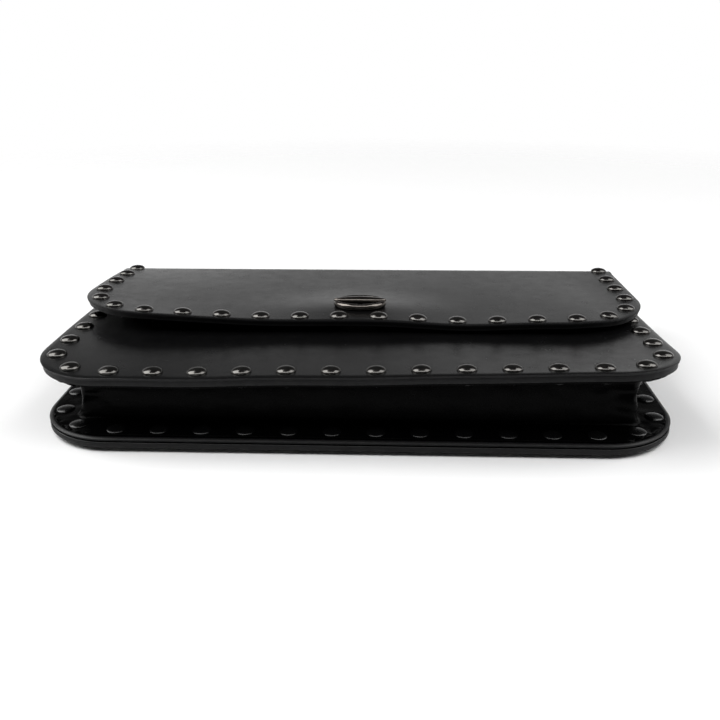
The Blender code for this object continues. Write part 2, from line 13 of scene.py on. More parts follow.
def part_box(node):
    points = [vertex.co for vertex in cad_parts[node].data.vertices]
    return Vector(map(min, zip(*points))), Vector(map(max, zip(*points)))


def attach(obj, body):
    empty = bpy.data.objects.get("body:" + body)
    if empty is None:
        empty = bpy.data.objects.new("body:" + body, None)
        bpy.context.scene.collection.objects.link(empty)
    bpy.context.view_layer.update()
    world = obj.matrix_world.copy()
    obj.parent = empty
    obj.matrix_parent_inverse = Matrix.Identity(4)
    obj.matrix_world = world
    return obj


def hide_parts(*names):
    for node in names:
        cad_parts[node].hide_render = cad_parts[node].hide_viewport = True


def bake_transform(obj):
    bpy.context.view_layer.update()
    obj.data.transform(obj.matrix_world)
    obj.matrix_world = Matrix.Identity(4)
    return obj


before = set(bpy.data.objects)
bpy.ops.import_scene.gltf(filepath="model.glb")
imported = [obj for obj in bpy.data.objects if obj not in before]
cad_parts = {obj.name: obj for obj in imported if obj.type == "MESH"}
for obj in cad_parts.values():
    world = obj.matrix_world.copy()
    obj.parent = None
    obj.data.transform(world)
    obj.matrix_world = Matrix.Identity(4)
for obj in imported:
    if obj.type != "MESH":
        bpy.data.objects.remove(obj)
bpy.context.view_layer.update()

# Sizes that come from the frame.
back_low, back_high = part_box("back_panel")
front_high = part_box("front_panel")[1]
flap_low, flap_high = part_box("flap_leather")
spine_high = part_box("spine_leather")[1]

SIDE_TRIM = 0.0012
FLAP_OVERHANG = 0.0011
HALF_WIDTH = back_high.x - SIDE_TRIM
BOTTOM_EDGE = back_low.y
OUTER_FACE = back_low.z
MOUTH = front_high.y
FLAP_HALF = flap_high.x + FLAP_OVERHANG
FLAP_EDGE = flap_low.y
FOLD_FACE = spine_high.y
FOLD_TOP = spine_high.z

# The cut and the layers of the leather.
CORNER = 0.0276
FLAP_CORNER = 0.038
BACK_HIDE = 0.0021
BACK_BOARD_DEPTH = 0.00220
BACK_BOARD = 0.00100
FRONT_HIDE = 0.0008
FRONT_BOARD_DEPTH = 0.00122
FRONT_BOARD = 0.00198
FLAP_HIDE = 0.0008
FLAP_BOARD_DEPTH = 0.00118
FLAP_BOARD = 0.00122
PANEL_THICKNESS = 0.0032
PLY_GAP = 0.0003
LOWER_FOLD = 0.004
UPPER_FOLD = 0.006
SEAM_HEIGHT = 0.0150
SEAM_GAP = 0.00008

# The cut edges.
LIP_OVERHANG = 0.0006
LIP_DROP = 0.00028
LIP_WIDTH = 0.0020
BEAD_RISE = 0.00062
BEAD_INSET = 0.0011
BEAD_WIDTH = 0.0009

# The rows along an edge, and the grids that the leather is ruled into.
RIM = (0.0004, 0.0004, 0.0005, 0.0005, 0.0006, 0.0007)
PANEL_GRID = 0.004
FLAP_GRID = 0.003
CLASP_GRID = 0.0015
CLASP_GRID_HALF = 0.0245
FOLD_GRID = 0.0009
LINING_GRID = 0.006
BACK_FLAT_END, BACK_BEND_START = 0.055, 0.0575
FLAP_FLAT_END, FLAP_BEND_START = 0.056, 0.0585

# How the front and the flap stand.
FRONT_HEIGHT = 0.0296
FRONT_SLOPE = 0.045
FRONT_DROOP = 0.0008
NEAR_SLOPE_RIGHT = 0.029
NEAR_SLOPE_LEFT = 0.016
NEAR_SAG = 0.0006
NEAR_SAG_X = -0.058
NEAR_SAG_WIDTH = 0.018
LENGTH = FOLD_FACE - BOTTOM_EDGE
FLAP_START = FOLD_FACE - UPPER_FOLD
FLAP_REST = 0.0047
FLAP_EDGE_LIFT = 0.0004
FLAP_CURL = 0.0026
FLAP_SAG = 0.0011
FLAP_SAG_X = 0.042
FLAP_SAG_WIDTH = 0.020
FLAP_DROP = 0.0012
FLAP_BULGE = 0.0056

# Studs.
STUD_RADIUS = 0.0035
STUD_RISE = 0.0017
STUD_PITCH = 0.01515
STUD_INSET = 0.0058
FLAP_STUD_INSET = 0.0052
FLAP_STUDS = 11
RIVET_RADIUS = 0.0033
RIVET_RISE = 0.0009
FRONT_RIVET_RISE = 0.0014
RIVET_SINK = 0.0001

# The gusset.
GUSSET_INSET = 0.0136
GUSSET_CORNER = 0.0040
GUSSET_LEATHER = 0.0009
GUSSET_FLANGE = 0.0117
GUSSET_MARGIN = 0.0019
GUSSET_TUCK = 0.0022
LINING = 0.0005
LINING_BEHIND = 0.0008
FLANGE_ROW = 0.0013
CRUMPLE = 0.00016
CORNER_CRUMPLE = 0.0010
FINE_CRUMPLE = 0.0005
PUCKER = 0.00014

# Stitches.
STITCH_RADIUS = 0.00022
STITCH_LENGTH = 0.0024
STITCH_PITCH = 0.0032
STITCH_SLANT = math.radians(7)
SEAM_INSET = 0.0022

# The rings and their tabs.
TAB_LOOP = 0.0026
TAB_EYE = 0.00145
TAB_TAIL = 0.0140
RING_WIRE = 0.0010
RING_HALF = 0.0045
RING_SIDE = 0.0050
RING_BEND = 0.0015

# The floor.
FLOOR_RADIUS = 0.9

# The clasp.
CLASP_Y = FOLD_FACE - 0.0708
CLASP_HALF = (0.0092, 0.0071)
CLASP_WIRE = 0.0013
CLASP_DRAW = 0.00115
CLASP_DRAW_HALF = (0.028, 0.016)
OVAL_SEAT = 0.75
KNOB_RADIUS = 0.00185
KNOB_TAPER = 0.30
KNOB_SEAT = 0.82
KNOB_SHAPE = (1.0, 1.35, 0.80, 1.0)
BOWL_HEIGHTS = ((0.0, 0.00018), (0.45, 0.00020), (0.75, 0.00030), (0.93, 0.0005), (1.0, 0.0006))


# Finishes.


def new_finish(name):
    """A Principled material with its texture coordinates, ready for more nodes."""
    made = bpy.data.materials.new(name)
    made.use_nodes = True
    tree = made.node_tree
    where = tree.nodes.new("ShaderNodeTexCoord").outputs["Object"]
    return made, tree, tree.nodes["Principled BSDF"], where


def noise_node(tree, where, scale, detail=2.0, roughness=0.5):
    node = tree.nodes.new("ShaderNodeTexNoise")
    node.inputs["Scale"].default_value = scale
    node.inputs["Detail"].default_value = detail
    node.inputs["Roughness"].default_value = roughness
    tree.links.new(where, node.inputs["Vector"])
    return node.outputs["Fac"]


def spread(tree, value, low, high, from_low=0.3, from_high=0.7):
    """The value stretched to run from low to high."""
    node = tree.nodes.new("ShaderNodeMapRange")
    node.inputs["From Min"].default_value = from_low
    node.inputs["From Max"].default_value = from_high
    node.inputs["To Min"].default_value = low
    node.inputs["To Max"].default_value = high
    tree.links.new(value, node.inputs["Value"])
    return node.outputs["Result"]


def two_tone(tree, value, dark, light):
    node = tree.nodes.new("ShaderNodeMix")
    node.data_type = "RGBA"
    node.inputs["A"].default_value = (*dark, 1.0)
    node.inputs["B"].default_value = (*light, 1.0)
    tree.links.new(value, node.inputs["Factor"])
    return node.outputs["Result"]


def raised(tree, height, depth, under=None):
    """A bump of this depth in metres, laid over an earlier one."""
    node = tree.nodes.new("ShaderNodeBump")
    node.inputs["Strength"].default_value = 1.0
    node.inputs["Distance"].default_value = depth
    tree.links.new(height, node.inputs["Height"])
    if under is not None:
        tree.links.new(under, node.inputs["Normal"])
    return node.outputs["Normal"]


def hide_finish(name, dark, light, rough, grain, gloss=1.40, pebble=1500.0, soft=0.00012):
    """Dyed hide: fine pebbled grain over slow swells, with a slightly uneven colour and shine."""
    made, tree, shader, where = new_finish(name)
    cells = tree.nodes.new("ShaderNodeTexVoronoi")
    cells.feature = "DISTANCE_TO_EDGE"
    cells.inputs["Scale"].default_value = pebble
    tree.links.new(where, cells.inputs["Vector"])
    creases = spread(tree, cells.outputs["Distance"], 0.0, 1.0, 0.0, 0.12)
    swells = noise_node(tree, where, 34.0, 3.0)
    specks = noise_node(tree, where, 900.0, 3.0)
    slow = raised(tree, swells, soft)
    fine = raised(tree, creases, grain, slow)
    tree.links.new(raised(tree, specks, grain * 0.6, fine), shader.inputs["Normal"])
    tone = noise_node(tree, where, 55.0, 5.0, 0.6)
    tree.links.new(two_tone(tree, tone, dark, light), shader.inputs["Base Color"])
    wear = noise_node(tree, where, 180.0, 5.0, 0.65)
    tree.links.new(spread(tree, wear, rough - 0.04, rough + 0.05), shader.inputs["Roughness"])
    shader.inputs["IOR"].default_value = gloss
    return made


def edge_finish():
    """Edge paint over the stacked layers: streaked along the edge, with a dull shine."""
    made, tree, shader, where = new_finish("edge_paint")
    stretch = tree.nodes.new("ShaderNodeMapping")
    stretch.inputs["Scale"].default_value = (60.0, 60.0, 2600.0)
    tree.links.new(where, stretch.inputs["Vector"])
    layers = noise_node(tree, stretch.outputs["Vector"], 1.0, 3.0, 0.6)
    blots = noise_node(tree, where, 420.0, 3.0)
    under = raised(tree, layers, 0.00012)
    tree.links.new(raised(tree, blots, 0.00006, under), shader.inputs["Normal"])
    tones = two_tone(tree, layers, (0.004, 0.004, 0.0043), (0.012, 0.012, 0.0126))
    tree.links.new(tones, shader.inputs["Base Color"])
    tree.links.new(spread(tree, blots, 0.45, 0.62), shader.inputs["Roughness"])
    shader.inputs["IOR"].default_value = 1.26
    return made


def plated_finish(name, dark, light, rough):
    """Gunmetal plating: cloudy tone, fine hairlines and a few dull patches."""
    made, tree, shader, where = new_finish(name)
    clouds = noise_node(tree, where, 260.0, 4.0)
    tree.links.new(two_tone(tree, clouds, dark, light), shader.inputs["Base Color"])
    hairs = tree.nodes.new("ShaderNodeMapping")
    hairs.inputs["Scale"].default_value = (400.0, 5200.0, 900.0)
    hairs.inputs["Rotation"].default_value = (0.0, 0.0, 0.6)
    tree.links.new(where, hairs.inputs["Vector"])
    lines = noise_node(tree, hairs.outputs["Vector"], 1.0, 4.0, 0.7)
    patches = noise_node(tree, where, 700.0, 4.0)
    tree.links.new(spread(tree, patches, rough - 0.04, rough + 0.10), shader.inputs["Roughness"])
    dents = raised(tree, noise_node(tree, where, 330.0, 2.0), 0.00005)
    tree.links.new(raised(tree, lines, 0.000006, dents), shader.inputs["Normal"])
    shader.inputs["Metallic"].default_value = 1.0
    return made


def twill_finish():
    """Black lining cloth: a fine diagonal twill, with slubs and a little fuzz."""
    made, tree, shader, where = new_finish("lining_twill")
    turn = tree.nodes.new("ShaderNodeMapping")
    turn.inputs["Rotation"].default_value = (0.3, 0.2, math.radians(52))
    tree.links.new(where, turn.inputs["Vector"])
    ribs = tree.nodes.new("ShaderNodeTexWave")
    ribs.inputs["Scale"].default_value = 520.0
    ribs.inputs["Distortion"].default_value = 1.2
    ribs.inputs["Detail"].default_value = 2.0
    ribs.inputs["Detail Scale"].default_value = 3.0
    tree.links.new(turn.outputs["Vector"], ribs.inputs["Vector"])
    slubs = noise_node(tree, where, 340.0, 4.0)
    tones = two_tone(tree, ribs.outputs["Fac"], (0.008, 0.008, 0.0085), (0.034, 0.034, 0.036))
    tree.links.new(tones, shader.inputs["Base Color"])
    weave = raised(tree, ribs.outputs["Fac"], 0.00012)
    tree.links.new(raised(tree, slubs, 0.00008, weave), shader.inputs["Normal"])
    tree.links.new(spread(tree, slubs, 0.78, 0.95), shader.inputs["Roughness"])
    shader.inputs["Sheen Weight"].default_value = 0.12
    shader.inputs["Sheen Roughness"].default_value = 0.5
    return made


OUTER = hide_finish(
    "outer_hide", (0.0018, 0.0018, 0.0019), (0.0036, 0.0036, 0.0038), rough=0.23, grain=0.000004, gloss=1.38
)
FACING = hide_finish(
    "facing_hide", (0.0030, 0.0030, 0.0032), (0.0060, 0.0060, 0.0063), rough=0.38, grain=0.000016, gloss=1.36
)
GLOSSY = hide_finish(
    "gusset_hide", (0.0004, 0.0004, 0.0005), (0.0009, 0.0009, 0.0010), rough=0.26, grain=0.000006,
    gloss=1.11, pebble=900.0, soft=0.00015,
)
BUMPS = hide_finish(
    "rivet_back_hide", (0.0010, 0.0010, 0.0011), (0.0022, 0.0022, 0.0024), rough=0.24, grain=0.000008,
    gloss=1.50, pebble=900.0, soft=0.0001,
)
INNER = hide_finish(
    "inner_hide", (0.010, 0.010, 0.0105), (0.019, 0.019, 0.020), rough=0.52, grain=0.000030,
    gloss=1.38, pebble=1100.0,
)
EDGE = edge_finish()
STUD_METAL = plated_finish("stud_plating", (0.070, 0.068, 0.064), (0.135, 0.131, 0.123), rough=0.15)
CLASP_METAL = plated_finish("clasp_plating", (0.085, 0.078, 0.070), (0.17, 0.155, 0.14), rough=0.14)
# The clasp bowl's plating is nearly black: painted shade standing in for the dark recess inside the ring.
BOWL_PAINTED_SHADE = plated_finish("bowl_painted_shade", (0.006, 0.0055, 0.005), (0.018, 0.017, 0.016), rough=0.30)
TWILL = twill_finish()
THREAD = hide_finish(
    "waxed_thread", (0.008, 0.008, 0.008), (0.024, 0.024, 0.025), rough=0.5, grain=0.00005,
    gloss=1.40, pebble=3200.0,
)


# Where the leather lies.


def ripple(x, y, height=0.00014):
    """The slight unevenness of a panel that has been handled."""
    broad = math.sin(58 * x + 1.3) * math.cos(34 * y + 0.4)
    return height * (broad + 0.45 * math.sin(131 * x - 0.7 + 20 * y))


def smooth_step(value, start, end):
    """0 before the start, 1 past the end, smooth between them."""
    part = min(1.0, max(0.0, (value - start) / (end - start)))
    return part * part * (3 - 2 * part)


def near_rise(x):
    """The bottom edge of the front stands up to the right, and sags a little left of the middle."""
    rise = (NEAR_SLOPE_RIGHT if x > 0 else NEAR_SLOPE_LEFT) * x
    return rise - NEAR_SAG * math.exp(-(((x - NEAR_SAG_X) / NEAR_SAG_WIDTH) ** 2))


def front_top(x, y):
    """The front slopes down to the mouth; its near right corner stands higher."""
    along = (y - BOTTOM_EDGE) / LENGTH
    near = (1 - along) ** 4
    droop = FRONT_DROOP * (max(0.0, x) / HALF_WIDTH) ** 3 * (1 - near)
    return FRONT_HEIGHT - FRONT_SLOPE * (y - BOTTOM_EDGE) + near_rise(x) * near - droop + ripple(x, y)


def clasp_swell(x, y):
    """The leather drawn up round the clasp."""
    across, along = CLASP_DRAW_HALF
    return math.exp(-((x / across) ** 2) - ((y - CLASP_Y) / along) ** 2)


def flap_lift(x):
    """How the flap's free edge lifts on the left, sags right of the middle and drops at its right corner."""
    curl = FLAP_CURL * smooth_step(-x, 0.030, 0.088)
    sag = FLAP_SAG * math.exp(-(((x - FLAP_SAG_X) / FLAP_SAG_WIDTH) ** 2))
    return FLAP_EDGE_LIFT + curl - sag - FLAP_DROP * smooth_step(x, 0.085, 0.105)


def flap_top(x, y):
    """The flap clears the front's studs and lies closer to the front towards its free edge."""
    along = (FLAP_START - y) / (FLAP_START - FLAP_EDGE)
    slope = FRONT_HEIGHT - FRONT_SLOPE * (y - BOTTOM_EDGE)
    bulge = FLAP_BULGE * along * (1 - along) ** 2 * (max(0.0, -x) / FLAP_HALF) ** 3
    waves = along * ripple(x + 0.02, 2 * y, 0.00016)
    return slope + FLAP_REST + along * flap_lift(x) + bulge + waves + CLASP_DRAW * clasp_swell(x, y)


def inside_edge(x, y, half, near, corner):
    """How far a point lies inside a panel's sides and bottom edge."""
    over_x = abs(x) - half + corner
    over_y = near + corner - y
    if over_x > 0 and over_y > 0:
        return corner - math.hypot(over_x, over_y)
    return min(half - abs(x), y - near)


def bend(centre, radius, angle, depth):
    """A point (y, z) on a fold, this far under its outer face."""
    return centre[0] + (radius - depth) * math.cos(angle), centre[1] + (radius - depth) * math.sin(angle)


BACK_CENTRE = (FOLD_FACE - LOWER_FOLD, OUTER_FACE + LOWER_FOLD)
TOP_CENTRE = (FLAP_START, FOLD_TOP - UPPER_FOLD)
LOWER_ARC = 0.5 * math.pi * LOWER_FOLD
UPPER_ARC = 0.5 * math.pi * UPPER_FOLD


def on_back(x, run, depth):
    """Run goes from the bottom edge along the outside of the back, round the lower fold and up the spine."""
    if run <= BACK_CENTRE[0]:
        return Vector((x, run, OUTER_FACE + depth))
    narrow = x * (1 - (1 - FLAP_HALF / HALF_WIDTH) * min(1.0, (run - BACK_CENTRE[0]) / LOWER_ARC))
    if run <= BACK_CENTRE[0] + LOWER_ARC:
        angle = (run - BACK_CENTRE[0]) / LOWER_FOLD - 0.5 * math.pi
        return Vector((narrow, *bend(BACK_CENTRE, LOWER_FOLD, angle, depth)))
    return Vector((narrow, FOLD_FACE - depth, BACK_CENTRE[1] + run - BACK_CENTRE[0] - LOWER_ARC))


def on_flap(x, run, depth):
    """Run goes from the flap's free edge to the upper fold, round it and down the spine."""
    if run <= FLAP_START:
        return Vector((x, run, flap_top(x, run) - depth))
    if run <= FLAP_START + UPPER_ARC:
        angle = 0.5 * math.pi - (run - FLAP_START) / UPPER_FOLD
        return Vector((x, *bend(TOP_CENTRE, UPPER_FOLD, angle, depth)))
    return Vector((x, FOLD_FACE - depth, TOP_CENTRE[1] - (run - FLAP_START - UPPER_ARC)))


def on_front(x, run, depth):
    return Vector((x, run, front_top(x, run) - depth))


# Making pieces.


def piece(name, bm, finish, slot, edge_angle=38):
    """A mesh object in its final place, with its finish."""
    mesh = bpy.data.meshes.new(name)
    bm.to_mesh(mesh)
    bm.free()
    mesh.shade_smooth()
    mesh.set_sharp_from_angle(angle=math.radians(edge_angle))
    made = bpy.data.objects.new(name, mesh)
    bpy.context.scene.collection.objects.link(made)
    mesh.materials.append(finish)
    return made


def settle(made, edge_angle=38):
    """The piece with its modifiers made final."""
    bpy.context.view_layer.update()
    mesh = bpy.data.meshes.new_from_object(made.evaluated_get(bpy.context.evaluated_depsgraph_get()))
    made.modifiers.clear()
    made.data = mesh
    mesh.set_sharp_from_angle(angle=math.radians(edge_angle))
    return made


def thicken(made, thickness, offset=0.0):
    """Gives a sheet its thickness, evenly about it unless it is offset to one side."""
    wall = made.modifiers.new("Thickness", "SOLIDIFY")
    wall.thickness = thickness
    wall.offset = offset
    return wall


def round_edges(made, width, segments):
    soft = made.modifiers.new("Rounding", "BEVEL")
    soft.width = width
    soft.segments = segments
    soft.limit_method = "ANGLE"
    soft.angle_limit = math.radians(60)


def merge(bm, part):
    """Adds a finished part to a piece that is being made of several."""
    made = bpy.data.meshes.new("part")
    part.to_mesh(made)
    part.free()
    bm.from_mesh(made)
    bpy.data.meshes.remove(made)


def cut_shape(half, near, far, corner, rims, cuts_x, cuts_y):
    """A flat cut of leather: two round bottom corners, narrow rows along its edge, then ruled both ways."""
    bm = bmesh.new()
    size = Matrix.Diagonal((2 * half, far - near, 1.0, 1.0))
    place = Matrix.Translation((0, (near + far) / 2, 0)) @ size
    bmesh.ops.create_grid(bm, x_segments=1, y_segments=1, size=0.5, matrix=place)
    bottom = [vert for vert in bm.verts if vert.co.y < (near + far) / 2]
    bmesh.ops.bevel(
        bm, geom=bottom, offset=corner, offset_type="OFFSET", segments=22, profile=0.5,
        affect="VERTICES", material=-1,
    )
    for width in rims:
        middle = max(bm.faces, key=lambda face: face.calc_area())
        bmesh.ops.inset_region(
            bm, faces=[middle], thickness=width, depth=0.0, use_boundary=True, use_even_offset=True
        )
    for axis, cuts in enumerate((cuts_x, cuts_y)):
        normal = Vector((0, 0, 0))
        normal[axis] = 1
        for cut in cuts:
            where = normal * cut
            everything = bm.verts[:] + bm.edges[:] + bm.faces[:]
            bmesh.ops.bisect_plane(bm, geom=everything, plane_co=where, plane_no=normal, dist=2e-6)
    return bm


def ruled(low, high, step):
    """Even cuts between two places."""
    count = max(1, round((high - low) / step))
    return [low + (high - low) * index / count for index in range(count + 1)]


def layer(name, bm, path, depth, thickness, rounding, finish, slot, outward, relief=None):
    """A cut of leather laid along its path, given its thickness and its rounded, painted edges."""
    for vert in bm.verts:
        x, run = vert.co.x, vert.co.y
        raise_by = relief(x, run) if relief else 0.0
        vert.co = path(x, run, depth - raise_by)
    bmesh.ops.recalc_face_normals(bm, faces=bm.faces[:])
    middle = max(bm.faces, key=lambda face: face.calc_area())
    if (middle.normal.z > 0) != outward:
        bmesh.ops.reverse_faces(bm, faces=bm.faces[:])
    made = piece(name, bm, finish, slot)
    made.data.materials.append(EDGE)
    wall = thicken(made, thickness, -1.0)
    wall.use_even_offset = True
    wall.material_offset_rim = 1
    round_edges(made, rounding, 4)
    return settle(made, 50)


def rolled_lip(inside):
    """How far the cut edge of a hide is rolled down over the layer under it."""
    return LIP_DROP * max(0.0, 1 - inside / LIP_WIDTH) ** 2


def rim_bead(inside):
    """The turned edge: a round bead just inside the edge."""
    return BEAD_RISE * math.exp(-(((inside - BEAD_INSET) / BEAD_WIDTH) ** 2))


def panel_cuts(half):
    return ruled(-half, half, PANEL_GRID)


def back_pieces():
    run_end = BACK_CENTRE[0] + LOWER_ARC + SEAM_HEIGHT - SEAM_GAP - BACK_CENTRE[1]
    cuts = ruled(BOTTOM_EDGE, BACK_FLAT_END, PANEL_GRID) + ruled(BACK_BEND_START, run_end, FOLD_GRID)

    def bead_in(x, run):
        if run >= 0.05:
            return 0.0
        return -rim_bead(inside_edge(x, run, HALF_WIDTH, BOTTOM_EDGE, CORNER))

    for name, depth, thickness, rounding, finish, slot, relief, node in (
        ("back_hide", 0.0, BACK_HIDE, 0.0006, OUTER, "outer_leather", None, "back_panel"),
        (
            "back_board", BACK_BOARD_DEPTH + BACK_BOARD, -BACK_BOARD, 0.0004, FACING, "facing_leather",
            bead_in, "back_facing",
        ),
    ):
        bm = cut_shape(HALF_WIDTH, BOTTOM_EDGE, run_end, CORNER, RIM, panel_cuts(HALF_WIDTH), cuts)
        made = layer(name, bm, on_back, depth, thickness, rounding, finish, slot, False, relief)
        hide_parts(node)
        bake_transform(made)


def flap_pieces():
    run_end = FLAP_START + UPPER_ARC + TOP_CENTRE[1] - SEAM_HEIGHT - SEAM_GAP
    cuts = ruled(FLAP_EDGE, FLAP_FLAT_END, FLAP_GRID) + ruled(FLAP_BEND_START, run_end, FOLD_GRID)
    cuts_x = ruled(-FLAP_HALF, -0.026, PANEL_GRID)
    cuts_x += ruled(-CLASP_GRID_HALF, CLASP_GRID_HALF, CLASP_GRID)
    cuts_x += ruled(0.026, FLAP_HALF, PANEL_GRID)

    def lip(x, run):
        if run >= FLAP_START - 0.004:
            return 0.0
        return -rolled_lip(inside_edge(x, run, FLAP_HALF, FLAP_EDGE, FLAP_CORNER))

    for name, depth, thickness, rounding, finish, slot, relief, nodes in (
        (
            "flap_hide", 0.0, FLAP_HIDE, 0.00035, OUTER, "outer_leather", lip,
            ("flap_leather", "spine_leather"),
        ),
        (
            "flap_board", FLAP_BOARD_DEPTH, FLAP_BOARD, 0.0003, FACING, "facing_leather", None,
            ("flap_facing", "spine_facing"),
        ),
    ):
        inset = 0.0 if relief else LIP_OVERHANG
        corner = FLAP_CORNER - inset
        bm = cut_shape(FLAP_HALF - inset, FLAP_EDGE + inset, run_end, corner, RIM, cuts_x, cuts)
        made = layer(name, bm, on_flap, depth, thickness, rounding, finish, slot, True, relief)
        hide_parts(*nodes)
        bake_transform(made)


def front_pieces():
    cuts = ruled(BOTTOM_EDGE, MOUTH, PANEL_GRID)

    def lip(x, run):
        return -rolled_lip(inside_edge(x, run, HALF_WIDTH, BOTTOM_EDGE, CORNER))

    for name, depth, thickness, rounding, finish, slot, relief, node in (
        ("front_hide", 0.0, FRONT_HIDE, 0.00035, OUTER, "outer_leather", lip, "front_panel"),
        (
            "front_board", FRONT_BOARD_DEPTH, FRONT_BOARD, 0.0006, FACING, "facing_leather", None,
            "front_facing",
        ),
    ):
        inset = 0.0 if relief else LIP_OVERHANG
        half = HALF_WIDTH - inset
        bm = cut_shape(half, BOTTOM_EDGE + inset, MOUTH, CORNER - inset, RIM, panel_cuts(half), cuts)
        made = layer(name, bm, on_front, depth, thickness, rounding, finish, slot, True, relief)
        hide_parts(node)
        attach(made, "body")


# The gusset.


def carried(bm, edges, move, steps):
    """The edges extruded in equal steps along a straight line: the last row."""
    for _ in range(steps):
        grown = bmesh.ops.extrude_edge_only(bm, edges=edges)["geom"]
        verts = [item for item in grown if isinstance(item, bmesh.types.BMVert)]
        bmesh.ops.translate(bm, verts=verts, vec=Vector(move) / steps)
        edges = [item for item in grown if isinstance(item, bmesh.types.BMEdge)]
    return edges


def turned(bm, edges, centre, steps, angle=math.pi / 2, axis=(0, 0, 1)):
    """The edges spun about an axis: the last row."""
    verts = list({vert for edge in edges for vert in edge.verts})
    spun = bmesh.ops.spin(
        bm, geom=verts + edges, cent=centre, axis=axis, angle=angle, steps=steps, dvec=(0, 0, 0)
    )
    return [item for item in spun["geom_last"] if isinstance(item, bmesh.types.BMEdge)]


def gusset_wall(x, y, level):
    """The height of the gusset here: level 0 lies on the back panel and 1 under the front."""
    low = OUTER_FACE + PANEL_THICKNESS + PLY_GAP + GUSSET_LEATHER / 2
    high = front_top(x, y) - PANEL_THICKNESS - PLY_GAP - GUSSET_LEATHER / 2
    return low + (high - low) * level


def swept_wall(profile, radius):
    """The (outward, level) profile taken down the left side, across the bottom and up the right."""
    half = HALF_WIDTH - GUSSET_INSET
    near = BOTTOM_EDGE + GUSSET_INSET + radius
    bm = bmesh.new()
    row = [bm.verts.new((-half - outward, MOUTH, level)) for outward, level in profile]
    edges = [bm.edges.new(pair) for pair in zip(row, row[1:])]
    edges = carried(bm, edges, (0, near - MOUTH, 0), 56)
    edges = turned(bm, edges, (radius - half, near, 0), 22)
    edges = carried(bm, edges, (2 * (half - radius), 0, 0), 110)
    edges = turned(bm, edges, (half - radius, near, 0), 22)
    carried(bm, edges, (0, MOUTH - near, 0), 56)
    bmesh.ops.remove_doubles(bm, verts=bm.verts[:], dist=1e-6)
    return bm


def kept_inside(vert):
    """The flange follows the panels' rounder corners."""
    centre = Vector((math.copysign(HALF_WIDTH - CORNER, vert.co.x), BOTTOM_EDGE + CORNER))
    reach = Vector((vert.co.x, vert.co.y)) - centre
    longest = CORNER - GUSSET_MARGIN
    if reach.x * vert.co.x > 0 and reach.y < 0 and reach.length > longest:
        vert.co.x, vert.co.y = centre + reach.normalized() * longest


def gusset():
    """Soft glossy leather between the panels, drawn in between them and crumpled at the corners."""
    profile = [(GUSSET_FLANGE - FLANGE_ROW * step, 0.0) for step in range(9)]
    levels = [step / 18 for step in range(1, 18)]
    profile += [(0.0003, 0.006)]
    profile += [(-GUSSET_TUCK * math.sin(math.pi * level) ** 0.8, level) for level in levels]
    profile += [(0.0003, 0.994)] + [(GUSSET_FLANGE - FLANGE_ROW * step, 1.0) for step in range(8, -1, -1)]
    half = HALF_WIDTH - GUSSET_INSET
    near = BOTTOM_EDGE + GUSSET_INSET
    bm = swept_wall(profile, GUSSET_CORNER)
    for vert in bm.verts:
        kept_inside(vert)
        x, y, level = vert.co
        upright = math.sin(math.pi * level)
        at_corner = math.exp(-(((abs(x) - half) / 0.013) ** 2) - ((y - near) / 0.015) ** 2)
        folds = noise.noise(Vector((x * 170, y * 170, level * 4.2)))
        fine = noise.noise(Vector((x * 420 + 9, y * 420, level * 9.0)))
        coarse = (CRUMPLE + CORNER_CRUMPLE * at_corner) * folds
        crumple = upright * (coarse + FINE_CRUMPLE * at_corner * fine)
        vert.co.x += math.copysign(crumple, x) * smooth_step(abs(x), half - 0.010, half)
        vert.co.y -= crumple * smooth_step(-y, -near - 0.010, -near)
        puckers = 0.0
        if level in (0.0, 1.0):
            puckers = PUCKER * (1 + 1.6 * at_corner) * noise.noise(Vector((x * 240, y * 240, 3.0)))
        vert.co.z = gusset_wall(x, y, level) + (puckers if level < 0.5 else -puckers)
    bmesh.ops.recalc_face_normals(bm, faces=bm.faces[:])
    made = piece("gusset_leather", bm, GLOSSY, "gusset_leather", 60)
    thicken(made, GUSSET_LEATHER)
    settle(made, 60)
    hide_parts("gusset")
    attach(made, "body")


def gusset_inner():
    """The cloth behind the gusset."""
    behind = GUSSET_LEATHER / 2 + LINING_BEHIND + LINING
    levels = [0.12 + 0.76 * step / 12 for step in range(13)]
    profile = [(-GUSSET_TUCK * math.sin(math.pi * level) ** 0.8 - behind, level) for level in levels]
    bm = swept_wall(profile, GUSSET_CORNER)
    for vert in bm.verts:
        x, y, level = vert.co
        vert.co.z = gusset_wall(x, y, level)
    bmesh.ops.recalc_face_normals(bm, faces=bm.faces[:])
    made = piece("gusset_cloth", bm, TWILL, "lining_cloth", 60)
    thicken(made, LINING)
    settle(made, 60)
    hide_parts("gusset_lining")
    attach(made, "body")


# What lies between the panels.


def flat_piece(name, node, corner, rounding, finish, slot, surface=None):
    """A thin piece cut to the size of its node, flat or following a surface."""
    low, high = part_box(node)
    half = high.x

    def path(x, run, depth):
        top = surface(x, run) if surface else high.z + ripple(2 * x, 2 * run, 0.00004)
        return Vector((x, run, top - depth))

    cuts_x, cuts_y = ruled(-half, half, LINING_GRID), ruled(low.y, high.y, LINING_GRID)
    bm = cut_shape(half, low.y, high.y, corner, RIM[:3], cuts_x, cuts_y)
    thickness = LINING if surface else high.z - low.z
    made = layer(name, bm, path, 0.0, thickness, rounding, finish, slot, True)
    if finish is TWILL:
        made.data.materials[1] = TWILL
    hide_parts(node)
    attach(made, "body")


